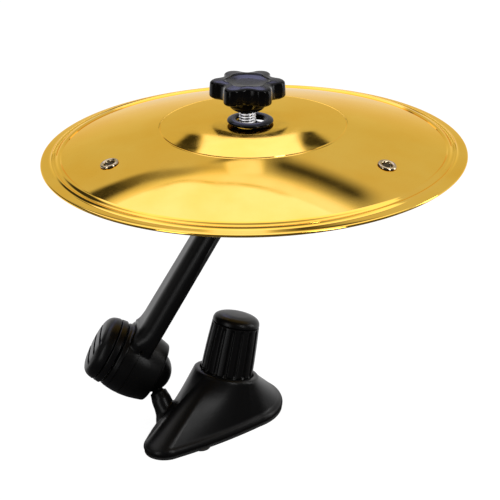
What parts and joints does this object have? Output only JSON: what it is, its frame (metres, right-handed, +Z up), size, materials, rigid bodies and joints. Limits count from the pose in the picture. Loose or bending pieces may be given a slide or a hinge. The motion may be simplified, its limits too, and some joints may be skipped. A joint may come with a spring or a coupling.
{
  "type": "miniature crash cymbal on a dashboard mount",
  "caption": "Small polished brass crash cymbal on a threaded stud with a star knob, carried by an inclined black arm with a clamped ball joint on a foot with a fluted twist knob.",
  "frame": {"origin": "on the cymbal's own vertical axis, in the plane of the foot's underside", "axes": "+Z up along the cymbal's axis; +X from the ball joint towards the cymbal's axis; -Y towards the front, the side the nose of the foot points to"},
  "size_m": [0.15, 0.15, 0.1322],
  "materials": {
    "knob_black": "gloss black, lightly moulded",
    "satin_black": "satin black moulding",
    "cymbal_brass": "polished golden brass",
    "brass_insert": "turned brass",
    "zinc_steel": "bright zinc plate",
    "felt": "black felt",
    "nylon": "natural nylon",
    "pad_rubber": "soft black rubber"
  },
  "bodies": {
    "foot": {"housing": "satin_black", "base_plate": "satin_black", "pad": "pad_rubber", "base_screw_1": "zinc_steel", "base_screw_2": "zinc_steel", "base_screw_3": "zinc_steel", "thrust_washer": "zinc_steel"},
    "dial": {"dial": "satin_black", "dial_cap": "satin_black"},
    "stem": {"pull_stem": "zinc_steel"},
    "ball": {"ball": "satin_black"},
    "liner": {"socket_liner": "nylon"},
    "arm": {"arm": "satin_black", "stud": "zinc_steel", "lock_nut": "zinc_steel", "seat_washer": "zinc_steel", "lower_felt": "felt"},
    "brake": {"brake_shoe": "nylon"},
    "clamp": {"clamp_cap": "satin_black", "clamp_ring": "satin_black", "clamp_screw": "zinc_steel"},
    "rocker": {"sleeve": "nylon"},
    "cymbal": {"cymbal": "cymbal_brass", "eyelet_1": "cymbal_brass", "eyelet_2": "cymbal_brass", "eyelet_3": "cymbal_brass"},
    "washer": {"upper_washer": "knob_black"},
    "knob": {"star_knob": "knob_black", "knob_insert": "brass_insert"}
  },
  "joints": [
    {"name": "dial_turn", "type": "hinge", "parent": "foot", "child": "dial", "pos_m": [-0.0121, 0, 0.0187], "axis": [0.21, 0.17, 0.9628], "range_deg": [0, 270]},
    {"name": "stem_slide", "type": "slide", "parent": "foot", "child": "stem", "axis": [-0.21, -0.17, -0.9628], "range_m": [0, 0.0015]},
    {"name": "ball_swivel", "type": "hinge", "parent": "foot", "child": "ball", "pos_m": [-0.0411, 0, 0.02], "axis": [0.3621, -0.4352, -0.8243], "range_deg": [-25, 25]},
    {"name": "ball_tilt", "type": "hinge", "parent": "ball", "child": "liner", "pos_m": [-0.0411, 0, 0.02], "axis": [0, 1, 0], "range_deg": [-6, 18]},
    {"name": "ball_roll", "type": "hinge", "parent": "liner", "child": "arm", "pos_m": [-0.0411, 0, 0.02], "axis": [0.859, 0, -0.512], "range_deg": [-25, 25]},
    {"name": "brake_slide", "type": "slide", "parent": "arm", "child": "brake", "axis": [-0.859, 0, 0.512], "range_m": [0, 0.0005]},
    {"name": "clamp_turn", "type": "hinge", "parent": "brake", "child": "clamp", "pos_m": [-0.0411, 0, 0.02], "axis": [-0.859, 0, 0.512], "range_deg": [0, 180]},
    {"name": "cymbal_rock", "type": "hinge", "parent": "arm", "child": "rocker", "pos_m": [0, 0, 0.1152], "axis": [0, 1, 0], "range_deg": [-2, 3]},
    {"name": "cymbal_spin", "type": "hinge", "parent": "rocker", "child": "cymbal", "pos_m": [0, 0, 0.1152], "axis": [0, 0, 1], "continuous": true},
    {"name": "washer_lift", "type": "slide", "parent": "arm", "child": "washer", "axis": [0.0253, 0, 0.9997], "range_m": [0, 0.002]},
    {"name": "knob_turn", "type": "hinge", "parent": "washer", "child": "knob", "pos_m": [-0.0023, 0, 0.104], "axis": [0.0253, 0, 0.9997], "range_deg": [0, 720]}
  ],
  "couplings": [
    {"joint": "stem_slide", "follows": "dial_turn", "m_per_rad": 0.00031828},
    {"joint": "brake_slide", "follows": "clamp_turn", "m_per_rad": 0.00015914},
    {"joint": "washer_lift", "follows": "knob_turn", "m_per_rad": 0.00015914}
  ]
}
